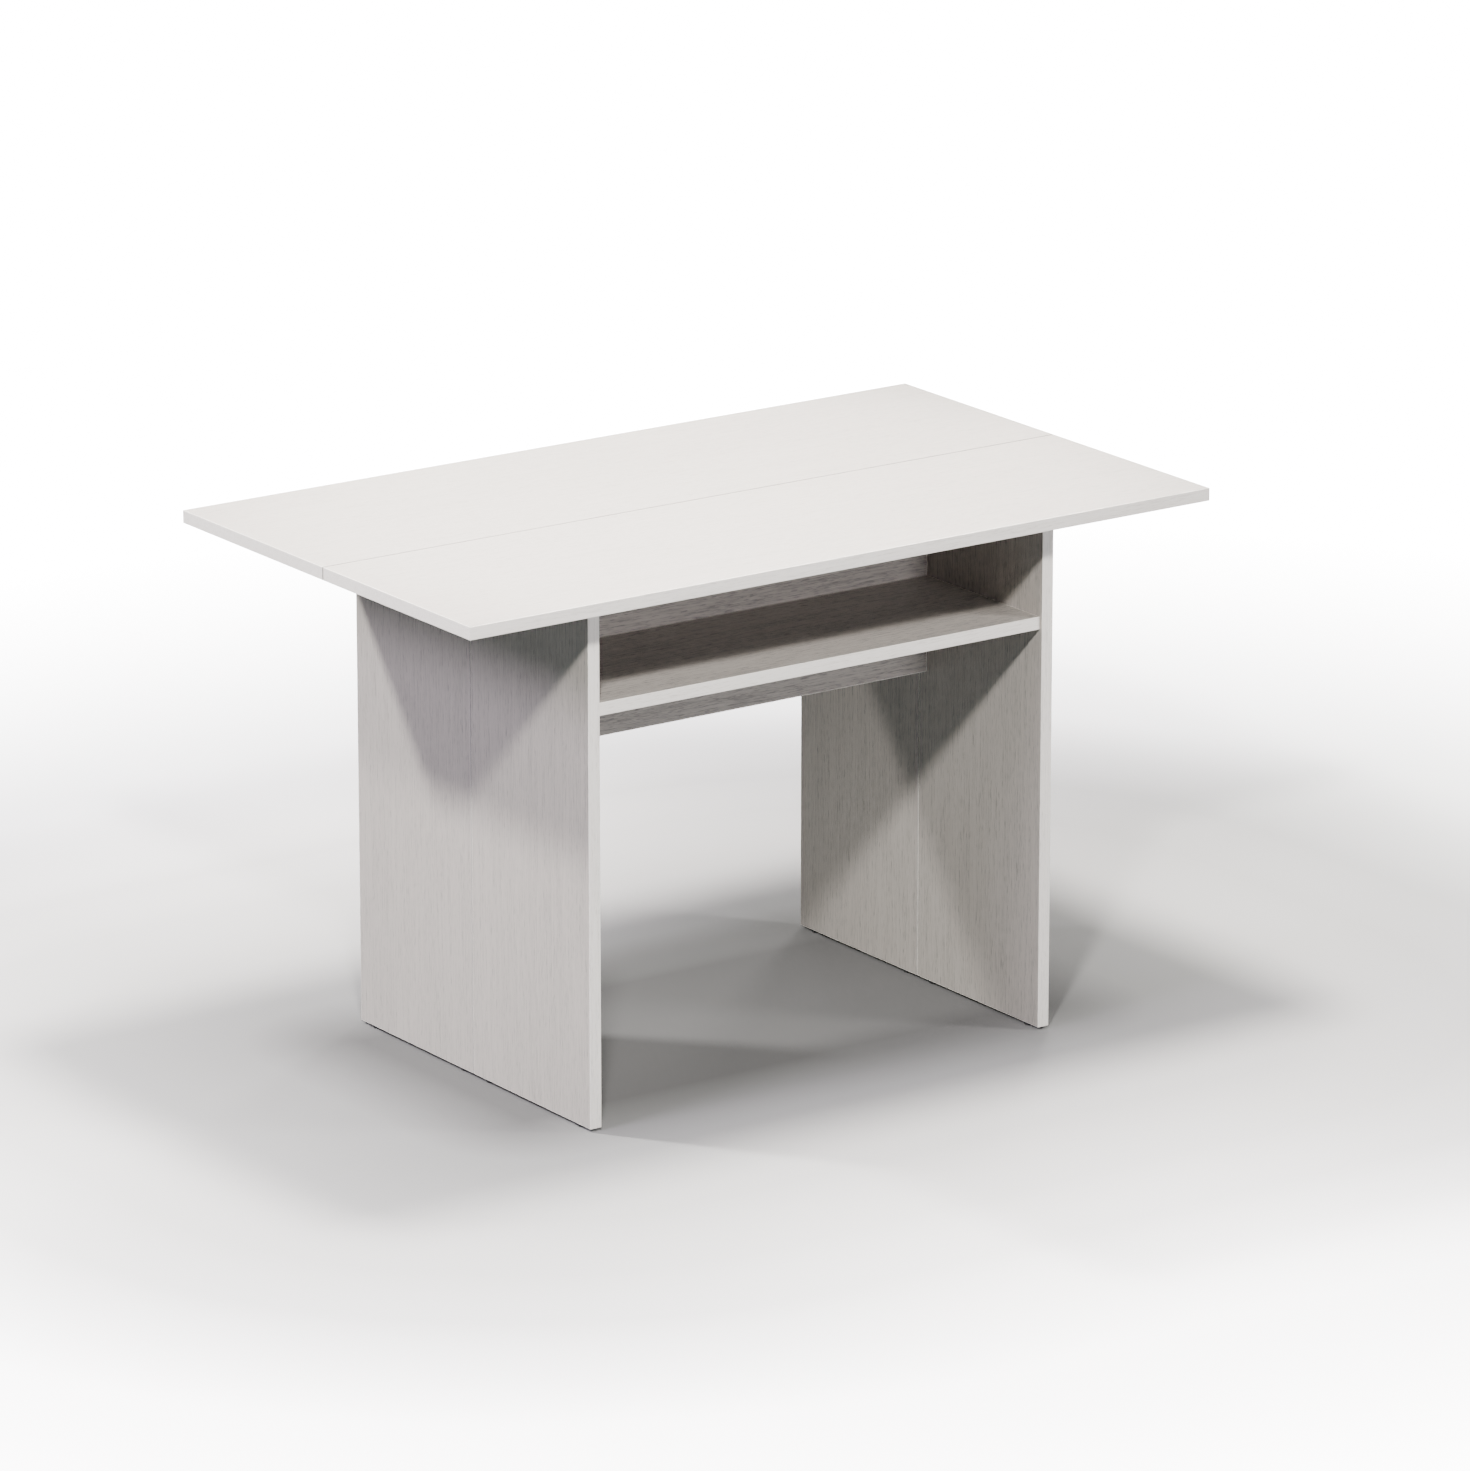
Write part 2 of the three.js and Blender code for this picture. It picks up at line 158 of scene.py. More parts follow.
class Nodes:
    """A short way to write a node tree."""

    def __init__(self, tree):
        self.tree = tree
        tree.nodes.clear()

    def add(self, kind, inputs=None, **settings):
        node = self.tree.nodes.new(kind)
        for key, value in settings.items():
            setattr(node, key, value)
        for key, value in (inputs or {}).items():
            self.put(node.inputs[key], value)
        return node

    def put(self, socket, value):
        if isinstance(value, bpy.types.NodeSocket):
            self.tree.links.new(value, socket)
        else:
            socket.default_value = value

    def maths(self, operation, first, second=0.0, third=0.0, clamp=False):
        node = self.add("ShaderNodeMath", operation=operation, use_clamp=clamp)
        for socket, value in zip(node.inputs, (first, second, third)):
            self.put(socket, value)
        return node.outputs[0]

    def vary(self, factor, share, base, clamp=False):
        """The base, moved by a share of the factor's distance from one half."""
        centred = self.maths("SUBTRACT", factor, 0.5)
        return self.maths("MULTIPLY_ADD", centred, share, base, clamp=clamp)

    def ramp(self, factor, stops):
        """stops are (position, value), with a grey value or a colour."""
        node = self.add("ShaderNodeValToRGB", {"Fac": factor})
        elements = node.color_ramp.elements
        while len(elements) < len(stops):
            elements.new(1.0)
        for element, (position, value) in zip(elements, stops):
            colour = value if isinstance(value, tuple) else (value,) * 3
            element.position = position
            element.color = (*colour, 1.0)
        return node.outputs["Color"]

    def noise(self, vector, scale=1.0, detail=2.0, roughness=0.5):
        inputs = {"Vector": vector, "Scale": scale, "Detail": detail, "Roughness": roughness}
        return self.add("ShaderNodeTexNoise", inputs).outputs["Fac"]

    def bump(self, strength, distance, height):
        inputs = {"Strength": strength, "Distance": distance, "Height": height}
        return self.add("ShaderNodeBump", inputs).outputs["Normal"]

    def stretched(self, vector, direction, features, start=0.0):
        """Coordinates with so many features to the metre, along a direction and across it."""
        along, across = features
        scale = [across] * 3
        scale["XYZ".index(direction)] = along
        inputs = {"Vector": vector, "Location": (start, start * 0.7, start * 1.3), "Scale": scale}
        return self.add("ShaderNodeMapping", inputs).outputs["Vector"]


def new_material(name):
    material = bpy.data.materials.new(name)
    material.use_nodes = True
    return material, Nodes(material.node_tree)


def finish_material(nodes, **inputs):
    named = {key.replace("_", " "): value for key, value in inputs.items()}
    shader = nodes.add("ShaderNodeBsdfPrincipled", named)
    nodes.add("ShaderNodeOutputMaterial", {"Surface": shader.outputs["BSDF"]})


# Tones of the grain, from open pore to lightest wash.
DECOR = ((0.28, 0.262, 0.246), (0.422, 0.393, 0.363), (0.508, 0.470, 0.433), (0.559, 0.520, 0.481))
# The banding is painted much lighter than the face decor: a painted highlight for the light on the board edges.
BAND_DECOR_PAINTED_LIGHT = ((0.72, 0.685, 0.64), (0.84, 0.80, 0.75), (0.90, 0.86, 0.81), (0.93, 0.89, 0.84))
# Painted shade for the band's arrises at a seam: dark on the leaves, paler on the panels.
LEAF_SEAM_SHADE = ((0.05, 0.048, 0.045), (0.075, 0.07, 0.065), (0.095, 0.09, 0.085), (0.115, 0.11, 0.10))
PANEL_SEAM_SHADE = ((0.29, 0.28, 0.27), (0.36, 0.35, 0.34), (0.41, 0.40, 0.385), (0.44, 0.43, 0.415))


# The decor's patterns: features to the metre with the grain and across it, and how much each one
# moves the tone.
WANDER, WANDER_REACH = (1.6, 7.0), 0.012
FIBRE, FIBRE_SHARE = (24, 1150), 0.95
STREAK, STREAK_SHARE = (6, 330), 0.6
FIGURE, FIGURE_SHARE = (1.0, 34), 0.2
CLOUD, CLOUD_SHARE = (1.1, 3.0), 0.2
PORE, PORE_SHARE = (70, 1050), -0.4
PORE_START = 2.0
PORE_LINE = ((0.0, 1.0), (0.38, 1.0), (0.46, 0.0), (1.0, 0.0))  # a pore where its noise is low
PORE_AREA = ((0.0, 1.0), (0.44, 1.0), (0.58, 0.25), (1.0, 0.0))  # and more of them in dark streaks
TONE_STOPS = (0.0, 0.33, 0.55, 1.0)
BOARD_ROUGHNESS = 0.47
PORE_ROUGHNESS = 0.18
STREAK_ROUGHNESS = 0.20
PORE_DEPTH = -0.8
FIBRE_HEIGHT = 0.5
BOARD_BUMP = 0.55
BOARD_RELIEF = 0.12 * MM
BOARD_IOR = 1.48


def board_material(name, direction, strength, start, tones):
    """Whitewashed oak decor with its grain along one axis."""
    material, nodes = new_material(name)
    place = nodes.add("ShaderNodeTexCoord").outputs["Object"]
    wander = nodes.add(
        "ShaderNodeTexNoise",
        {"Vector": nodes.stretched(place, direction, WANDER, start), "Scale": 1.0, "Detail": 1.0},
    ).outputs["Color"]
    centred = nodes.add(
        "ShaderNodeVectorMath", {0: wander, 1: (0.5, 0.5, 0.5)}, operation="SUBTRACT"
    ).outputs[0]
    shift = nodes.add(
        "ShaderNodeVectorMath", {0: centred, "Scale": WANDER_REACH}, operation="SCALE"
    ).outputs[0]
    wavy = nodes.add("ShaderNodeVectorMath", {0: place, 1: shift}, operation="ADD").outputs[0]

    fibre = nodes.noise(nodes.stretched(wavy, direction, FIBRE, start), detail=2.0, roughness=0.6)
    streak = nodes.noise(nodes.stretched(wavy, direction, STREAK, start), detail=3.0, roughness=0.62)
    figure = nodes.noise(nodes.stretched(wavy, direction, FIGURE, start), detail=2.0)
    cloud = nodes.noise(nodes.stretched(place, direction, CLOUD, start), detail=1.0)
    pore = nodes.noise(nodes.stretched(wavy, direction, PORE, start + PORE_START), detail=1.0)
    pores = nodes.maths("MULTIPLY", nodes.ramp(pore, PORE_LINE), nodes.ramp(streak, PORE_AREA))

    tone = nodes.vary(fibre, FIBRE_SHARE, 0.5)
    tone = nodes.vary(streak, STREAK_SHARE, tone)
    tone = nodes.vary(figure, FIGURE_SHARE, tone)
    tone = nodes.vary(cloud, CLOUD_SHARE, tone)
    tone = nodes.maths("MULTIPLY_ADD", pores, PORE_SHARE, tone)
    shown = nodes.vary(tone, strength, 0.5, clamp=True)
    colour = nodes.ramp(shown, list(zip(TONE_STOPS, tones)))

    rough = nodes.maths("MULTIPLY_ADD", pores, PORE_ROUGHNESS, BOARD_ROUGHNESS)
    rough = nodes.vary(streak, STREAK_ROUGHNESS, rough)
    raised = nodes.maths("MULTIPLY", fibre, FIBRE_HEIGHT)
    height = nodes.maths("MULTIPLY_ADD", pores, PORE_DEPTH, raised)
    bump = nodes.bump(BOARD_BUMP * min(strength, 1.0), BOARD_RELIEF, height)
    finish_material(nodes, Base_Color=colour, Roughness=rough, Normal=bump, IOR=BOARD_IOR)
    return material


def mottled(nodes, place, colour, scale, darkest):
    """A colour that drifts down to a share of itself in soft patches."""
    cloud = nodes.noise(place, scale=scale, detail=2.0)
    darker = tuple(c * darkest for c in colour)
    return nodes.ramp(cloud, [(0.3, darker), (0.7, colour)])


def metal_material(name, colour, roughness, direction, lines):
    """Turned or brushed metal, with fine lines across one axis, so many to the metre."""
    material, nodes = new_material(name)
    place = nodes.add("ShaderNodeTexCoord").outputs["Object"]
    scratch = nodes.noise(nodes.stretched(place, direction, (lines, lines * 0.03)), detail=3.0)
    tint = mottled(nodes, place, colour, scale=180, darkest=0.82)
    rough = nodes.vary(scratch, share=0.25, base=roughness)
    bump = nodes.bump(strength=0.3, distance=0.03 * MM, height=scratch)
    finish_material(nodes, Base_Color=tint, Metallic=1.0, Roughness=rough, Normal=bump)
    return material


def cast_material(name, colour, metallic, roughness, grain):
    """Die-cast metal or moulded plastic with a fine grain."""
    material, nodes = new_material(name)
    place = nodes.add("ShaderNodeTexCoord").outputs["Object"]
    fine = nodes.noise(place, scale=grain, detail=3.0, roughness=0.7)
    tint = mottled(nodes, place, colour, scale=grain * 0.08, darkest=0.8)
    rough = nodes.vary(fine, share=0.3, base=roughness)
    bump = nodes.bump(strength=0.35, distance=0.06 * MM, height=fine)
    finish_material(nodes, Base_Color=tint, Metallic=metallic, Roughness=rough, Normal=bump)
    return material


BRASS = metal_material("turned_brass", (0.72, 0.56, 0.30), 0.30, "Y", 9000)
STEEL = metal_material("plated_steel", (0.66, 0.67, 0.68), 0.26, "Z", 7000)
ZINC = cast_material("die_cast_zinc", (0.46, 0.47, 0.49), 1.0, 0.42, 2600)
PLASTIC = cast_material("dark_plastic", (0.028, 0.028, 0.03), 0.0, 0.55, 3000)

# --- Mesh building ----------------------------------------------------------------------------


def to_object(name, bm, material=None):
    """Turns a bmesh into an object and frees the bmesh."""
    mesh = bpy.data.meshes.new(name)
    bm.to_mesh(mesh)
    bm.free()
    if material:
        mesh.materials.append(material)
    piece = bpy.data.objects.new(name, mesh)
    bpy.context.scene.collection.objects.link(piece)
    return piece


def add_box(bm, low, high, radius=0.0, segments=1):
    """A box between two corners, with its edges rounded if a radius is given."""
    size = high - low
    place = Matrix.Translation((low + high) / 2) @ Matrix.Diagonal((*size, 1.0))
    made = bmesh.ops.create_cube(bm, size=1.0, matrix=place)["verts"]
    if radius:
        edges = list({edge for vert in made for edge in vert.link_edges})
        bmesh.ops.bevel(
            bm, geom=edges, offset=radius, segments=segments, profile=0.5, affect="EDGES",
            clamp_overlap=True,
        )


def add_rod(bm, low, high, axis, radius):
    """A round rod that fills a box along one axis."""
    middle = (low + high) / 2
    turn = {"X": Matrix.Rotation(math.pi / 2, 4, "Y"), "Y": Matrix.Rotation(math.pi / 2, 4, "X")}
    place = Matrix.Translation(middle) @ turn.get(axis, Matrix.Identity(4))
    length = (high - low)["XYZ".index(axis)]
    bmesh.ops.create_cone(
        bm, cap_ends=True, segments=ROUND_SIDES, radius1=radius, radius2=radius, depth=length,
        matrix=place,
    )


def cut(piece, cutters):
    """Takes each cutter, a filled bmesh, out of the piece."""
    for number, bm in enumerate(cutters):
        tool = to_object(f"cutter_{number}", bm)
        modifier = piece.modifiers.new("cut", "BOOLEAN")
        modifier.operation = "DIFFERENCE"
        modifier.solver = "EXACT"
        modifier.object = tool
        bpy.context.view_layer.update()
        shaped = piece.evaluated_get(bpy.context.evaluated_depsgraph_get())
        mesh = bpy.data.meshes.new_from_object(shaped)
        mesh.name = piece.name
        piece.modifiers.clear()
        piece.data = mesh
        bpy.data.objects.remove(tool)


def smooth(piece):
    piece.data.shade_smooth()
    piece.data.set_sharp_from_angle(angle=SMOOTH_ANGLE)
    modifier = piece.modifiers.new("flat_faces", "WEIGHTED_NORMAL")
    modifier.keep_sharp = True


def place_piece(piece, node, stands_for=True):
    """Smooths a piece and rides it with its node's body, in place of the node if it stands for it."""
    smooth(piece)
    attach(piece, body_of_node[node])
    if stands_for:
        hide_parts(node)


# --- Boards with their bores ------------------------------------------------------------------

PEG_RADIUS = 2.0 * MM
THREAD_RADIUS = 2.6 * MM
BOLT_RADIUS = 3.2 * MM  # of a cam bolt's head


def carrier(fitting):
    """The boards that a fitting is let into."""
    side = fitting.split("_")[0]
    if fitting.startswith("leaf_hinge"):
        return ["front_leaf"] if "front_barrel" in fitting else ["rear_leaf"]
    if fitting.endswith("panel_barrel"):
        return [f"{side}_side_panel"]
    if fitting.endswith("gate_barrel"):
        return [f"{side}_gate_panel"]
    if fitting.endswith("glide"):
        return [f"{side}_gate_panel" if "_gate_" in fitting else f"{side}_side_panel"]
    board = "shelf" if fitting.startswith("shelf") else "apron"
    if fitting.endswith("cam"):
        return [board]
    neighbour = "front_leaf" if "_top_" in fitting else f"{fitting.split('_')[1]}_side_panel"
    return [board, neighbour]


def bore_for(fitting, board):
    """A cutter for one fitting in one board."""
    low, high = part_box(fitting)
    board_low, board_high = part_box(board)
    grow = Vector((FIT_GAP,) * 3)
    low, high = low - grow, high + grow
    bm = bmesh.new()
    if fitting.endswith("barrel"):
        add_rod(bm, low, high, "Y", (high.z - low.z) / 2)
    elif fitting.endswith("glide"):
        low.z = board_low.z - FIT_GAP
        add_rod(bm, low, high, "Z", PEG_RADIUS + FIT_GAP)
    elif fitting.endswith("cam"):
        if board == "shelf":
            axis = "Z"
            low.z = board_low.z - FIT_GAP
        else:
            axis = "Y"
            high.y = board_high.y + FIT_GAP
        add_rod(bm, low, high, axis, (high.x - low.x) / 2)
    else:
        axis = "Z" if "_top_" in fitting else "X"
        radius = (BOLT_RADIUS if board in ("shelf", "apron") else THREAD_RADIUS) + FIT_GAP
        add_rod(bm, low, high, axis, radius)
    return bm


def paint_seam_shade(ring, board, low, high):
    """Paints shade on the band's arrises at the joint with the next board: a dark painted seam shadow on the
    leaves and a paler painted shade on the panels.
    """
    tones = LEAF_SEAM_SHADE if board.endswith("leaf") else PANEL_SEAM_SHADE
    direction = BOARDS[board][0]
    material = board_material(f"{board}_painted_seam_shade", direction, JOINT_GRAIN, JOINT_START, tones)
    ring.data.materials.append(material)
    joint = high.y if JOINT_SIDE[board] > 0 else low.y
    for face in ring.data.polygons:
        if abs(face.center.y - joint) < BAND and abs(face.normal.y) < ARRIS_LEAN:
            face.material_index = 1


def build_board(board):
    direction, strength, start, painted_light_and_shade = BOARDS[board]
    low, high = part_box(board)
    size = high - low
    thin = min(range(3), key=lambda axis: size[axis])
    inset = Vector([0.0 if axis == thin else BAND for axis in range(3)])
    joint = Vector([0.0 if axis == thin else BAND_JOINT for axis in range(3)])
    through = Vector([BAND if axis == thin else 0.0 for axis in range(3)])

    fittings = [name for name in node_names("barrel", "glide", "cam", "bolt") if board in carrier(name)]
    core = bmesh.new()
    add_box(core, low + inset + joint, high - inset - joint, FACE_ROUND, segments=1)
    # Painted light and shade: the decor is darkened for boards in shade and lightened for the lit left panels.
    tones = [tuple(c * painted_light_and_shade for c in tone) for tone in DECOR]
    material = board_material(f"{board}_decor", direction, strength, start, tones)
    piece = to_object(f"{board}_board", core, material)
    cut(piece, [bore_for(name, board) for name in fittings])
    place_piece(piece, board)

    band = bmesh.new()
    add_box(band, low, high, BAND_ROUND, segments=4)
    # The banding's lighter decor is a painted highlight on the board edges.
    material = board_material(
        f"{board}_band_painted_light_decor", direction, BAND_GRAIN, start + BAND_START, BAND_DECOR_PAINTED_LIGHT
    )
    ring = to_object(f"{board}_edge_band", band, material)
    middle = bmesh.new()
    add_box(middle, low + inset - through, high - inset + through)
    in_edge = [name for name in fittings if not name.endswith("cam")]
    cut(ring, [middle] + [bore_for(name, board) for name in in_edge])
    # Painted seam shade on the arrises where this board meets its neighbour.
    if board in JOINT_SIDE:
        paint_seam_shade(ring, board, low, high)
    place_piece(ring, board, stands_for=False)


for board in BOARDS:
    build_board(board)

# --- Fittings ---------------------------------------------------------------------------------

ACROSS_SEAMS = Vector((0, 1, 0))  # every hinge turns across this direction
LINK_SPAN = math.radians(68)  # each way from the seam
LINK_STEPS = 36
LINK_ROUND = 0.25 * MM
BARREL_ROUND = 0.4 * MM
GLIDE_ROUND = 0.9 * MM
GLIDE_ROUND_STEPS = 6
GLIDE_FLAT = 0.5  # flat share of a glide's foot
GLIDE_CHAMFER = 0.3 * MM
PEG_TAPER = 0.7 * MM
PEG_TIP = 1.0 * MM
THREAD_TURNS = 9
THREAD_PITCH = 1.05 * MM
THREAD_DEPTH = 0.5 * MM
THREAD_GROOVE = 0.7  # where each groove and crest is, in pitches
THREAD_CREST = 1.1
THREAD_TIP = 0.9 * MM  # how much narrower its end is
THREAD_LENGTH = 10.5 * MM
SHANK_RADIUS = 3.0 * MM
SHANK_END = 7.8 * MM  # short of the cam's middle
NECK_RADIUS = 1.8 * MM
NECK_ROOM = 2.1 * MM
HEAD_CHAMFER = 0.3 * MM
HEAD_POCKET = 1.8 * MM  # each way from the cam's middle
CAM_ROUND = 0.35 * MM
DRIVE_LENGTH = 8.0 * MM
DRIVE_WIDTH = 1.6 * MM
DRIVE_DEPTH = 2.4 * MM
CLEAR = 1.0 * MM  # how far a cutter runs out past a face
SAME_LEVEL = 0.01 * MM  # two points closer than this are at one level
WELD = 0.001 * MM  # and closer than this are one point


def hinge_frame(name):
    """Turning axis, direction into the boards and direction along the axis for one hinge."""
    joint_name = "leaf_fold" if name.startswith("leaf") else f"{name.split('_')[0]}_gate_fold"
    joint = next(j for j in frame["joints"] if j["name"] == joint_name)
    axis = Vector(joint["axis"])
    into = ACROSS_SEAMS.cross(axis)
    return Vector(joint["pos_m"]), into, axis


def link_radii(link):
    """Inner and outer radius of a hinge's arc-shaped link, from its box."""
    origin, into, _ = hinge_frame(link)
    low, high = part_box(link)
    reach = sorted(((low - origin).dot(into), (high - origin).dot(into)))
    outer = reach[1]
    inner = reach[0] / math.cos(LINK_SPAN)
    return inner, outer


def add_arc_plate(bm, hinge, inner, outer, span, low, high):
    """A plate between two arcs about the hinge's axis, from low to high along that axis."""
    origin, into, axis = hinge
    angles = [-span + 2 * span * i / LINK_STEPS for i in range(LINK_STEPS + 1)]
    outline = [(outer, a) for a in angles] + [(inner, a) for a in reversed(angles)]
    rings = []
    for level in (low, high):
        base = origin - axis * origin.dot(axis) + axis * level
        rings.append([
            bm.verts.new(base + (into * math.cos(a) + ACROSS_SEAMS * math.sin(a)) * r)
            for r, a in outline
        ])
    count = len(outline)
    for i in range(count):
        j = (i + 1) % count
        bm.faces.new((rings[0][i], rings[0][j], rings[1][j], rings[1][i]))
    for ring in rings:
        for i in range(LINK_STEPS):
            bm.faces.new((ring[i], ring[i + 1], ring[count - 2 - i], ring[count - 1 - i]))
    bmesh.ops.recalc_face_normals(bm, faces=bm.faces)


def along_axis(hinge, box):
    """How far a box reaches along the hinge's axis."""
    axis = hinge[2]
    return sorted((box[0].dot(axis), box[1].dot(axis)))


def build_link(link):
    hinge = hinge_frame(link)
    bm = bmesh.new()
    add_arc_plate(bm, hinge, *link_radii(link), LINK_SPAN, *along_axis(hinge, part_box(link)))
    piece = to_object(f"{link}_plate", bm, STEEL)
    modifier = piece.modifiers.new("softened", "BEVEL")
    modifier.width = LINK_ROUND
    modifier.segments = 2
    modifier.limit_method = "ANGLE"
    place_piece(piece, link)


def round_rims(bm, axis, radius):
    """Rounds the end rims of a rod that runs along the given axis."""
    rims = [
        edge for edge in bm.edges
        if abs(edge.verts[0].co[axis] - edge.verts[1].co[axis]) < SAME_LEVEL
    ]
    bmesh.ops.bevel(bm, geom=rims, offset=radius, segments=2, profile=0.5, affect="EDGES")


def build_barrel(barrel):
    low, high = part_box(barrel)
    hinge_name = barrel.rsplit("_", 2)[0]
    links = [name for name in node_names("link") if name.startswith(hinge_name)]
    hinge = hinge_frame(barrel)
    levels = [level for link in links for level in along_axis(hinge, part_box(link))]
    inner, outer = link_radii(links[0])
    bm = bmesh.new()
    add_rod(bm, low, high, "Y", (high.z - low.z) / 2)
    round_rims(bm, 1, BARREL_ROUND)
    piece = to_object(f"{barrel}_body", bm, BRASS)
    slot = bmesh.new()
    add_arc_plate(
        slot, hinge, inner - FIT_GAP, outer + FIT_GAP, LINK_SPAN + FIT_GAP / inner,
        min(levels) - FIT_GAP, max(levels) + FIT_GAP,
    )
    cut(piece, [slot])
    place_piece(piece, barrel)


def turned(bm, profile, place):
    """A turned piece from (radius, height) points, placed by a matrix."""
    points = [bm.verts.new((radius, 0.0, height)) for radius, height in profile]
    edges = [bm.edges.new(pair) for pair in zip(points, points[1:])]
    bmesh.ops.spin(
        bm, geom=points + edges, cent=(0, 0, 0), axis=(0, 0, 1), angle=math.tau, steps=ROUND_SIDES,
        use_duplicate=False,
    )
    bmesh.ops.remove_doubles(bm, verts=bm.verts, dist=WELD)
    bmesh.ops.recalc_face_normals(bm, faces=bm.faces)
    bmesh.ops.transform(bm, matrix=place, verts=bm.verts)


def build_glide(glide):
    low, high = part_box(glide)
    radius = (high.x - low.x) / 2
    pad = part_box(carrier(glide)[0])[0].z - FIT_GAP
    angles = [math.pi / 2 * i / GLIDE_ROUND_STEPS for i in range(GLIDE_ROUND_STEPS + 1)]
    arc = [
        (radius - GLIDE_ROUND * (1 - math.sin(a)), GLIDE_ROUND * (1 - math.cos(a))) for a in angles
    ]
    profile = [(0.0, 0.0), (radius * GLIDE_FLAT, 0.0)] + arc + [
        (radius, pad - GLIDE_CHAMFER),
        (radius - GLIDE_CHAMFER, pad),
        (PEG_RADIUS, pad),
        (PEG_RADIUS, high.z - PEG_TIP),
        (PEG_RADIUS - PEG_TAPER, high.z),
        (0.0, high.z),
    ]
    bm = bmesh.new()
    turned(bm, profile, Matrix.Translation(((low.x + high.x) / 2, (low.y + high.y) / 2, 0.0)))
    place_piece(to_object(f"{glide}_pad", bm, PLASTIC), glide)


def fitting_frame(bolt):
    """A cam bolt's outer end, the direction to its cam, its length, and how far its cam's middle is."""
    low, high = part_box(bolt)
    middle = (low + high) / 2
    cam_low, cam_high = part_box(bolt.replace("_bolt", "_cam"))
    cam_middle = (cam_low + cam_high) / 2
    axis = 2 if "_top_" in bolt else 0
    sign = 1 if cam_middle[axis] > middle[axis] else -1
    inward = Vector([sign if i == axis else 0 for i in range(3)])
    start = Vector(middle)
    start[axis] = low[axis] if sign > 0 else high[axis]
    return start, inward, (high - low)[axis], abs(cam_middle[axis] - start[axis])


def build_bolt(bolt):
    start, inward, length, cam_reach = fitting_frame(bolt)
    head_start = cam_reach - (length - cam_reach)  # the head is centred in the cam
    profile = [(0.0, 0.0), (THREAD_RADIUS - THREAD_TIP, 0.0)]
    for turn in range(THREAD_TURNS):
        profile.append((THREAD_RADIUS - THREAD_DEPTH, (THREAD_GROOVE + turn) * THREAD_PITCH))
        profile.append((THREAD_RADIUS, (THREAD_CREST + turn) * THREAD_PITCH))
    profile += [
        (THREAD_RADIUS, THREAD_LENGTH + FIT_GAP),
        (SHANK_RADIUS, THREAD_LENGTH + FIT_GAP),
        (SHANK_RADIUS, cam_reach - SHANK_END),
        (NECK_RADIUS, cam_reach - SHANK_END),
        (NECK_RADIUS, head_start),
        (BOLT_RADIUS - HEAD_CHAMFER, head_start),
        (BOLT_RADIUS, head_start + HEAD_CHAMFER),
        (BOLT_RADIUS, length - HEAD_CHAMFER),
        (BOLT_RADIUS - HEAD_CHAMFER, length),
        (0.0, length),
    ]
    bm = bmesh.new()
    place = Matrix.Translation(start) @ inward.to_track_quat("Z", "Y").to_matrix().to_4x4()
    turned(bm, profile, place)
    place_piece(to_object(f"{bolt}_body", bm, STEEL), bolt)


def build_cam(cam):
    low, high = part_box(cam)
    axis = "Z" if cam.startswith("shelf") else "Y"
    index = "XYZ".index(axis)
    radius = (high.x - low.x) / 2
    middle = (low + high) / 2
    cap, foot = (low[index], high[index]) if axis == "Z" else (high[index], low[index])
    bm = bmesh.new()
    add_rod(bm, low, high, axis, radius)
    round_rims(bm, index, CAM_ROUND)
    piece = to_object(f"{cam}_body", bm, ZINC)

    bolt_start, inward, _, _ = fitting_frame(cam.replace("_cam", "_bolt"))
    level = bolt_start[index]
    out = 1 if foot > cap else -1
    across = inward.cross(Vector([out if i == index else 0 for i in range(3)]))

    def pocket(start, end, room):
        """Room for the bolt, from start to end along it and open at the cam's foot."""
        corners = [middle + inward * start - across * room, middle + inward * end + across * room]
        for corner, height in zip(corners, (level - out * room, foot + out * CLEAR)):
            corner[index] = height
        low_corner = Vector(map(min, *corners))
        high_corner = Vector(map(max, *corners))
        box = bmesh.new()
        add_box(box, low_corner, high_corner)
        return box

    def drive(length, width):
        """One arm of the cross in the cam's cap."""
        box = bmesh.new()
        half = Vector([0, 0, 0])
        others = [i for i in range(3) if i != index]
        half[others[0]], half[others[1]] = length / 2, width / 2
        a, b = middle - half, middle + half
        a[index], b[index] = sorted((cap - out * CLEAR, cap + out * DRIVE_DEPTH))
        add_box(box, a, b)
        return box

    cut(piece, [
        pocket(-HEAD_POCKET, HEAD_POCKET, BOLT_RADIUS + FIT_GAP),
        pocket(-radius - CLEAR, 0.0, NECK_ROOM),
        drive(DRIVE_LENGTH, DRIVE_WIDTH),
        drive(DRIVE_WIDTH, DRIVE_LENGTH),
    ])
    place_piece(piece, cam)


for name in node_names("link"):
    build_link(name)
for name in node_names("barrel"):
    build_barrel(name)
for name in node_names("glide"):
    build_glide(name)
for name in node_names("bolt"):
    build_bolt(name)
for name in node_names("cam"):
    build_cam(name)

# --- Stage, light and camera ------------------------------------------------------------------


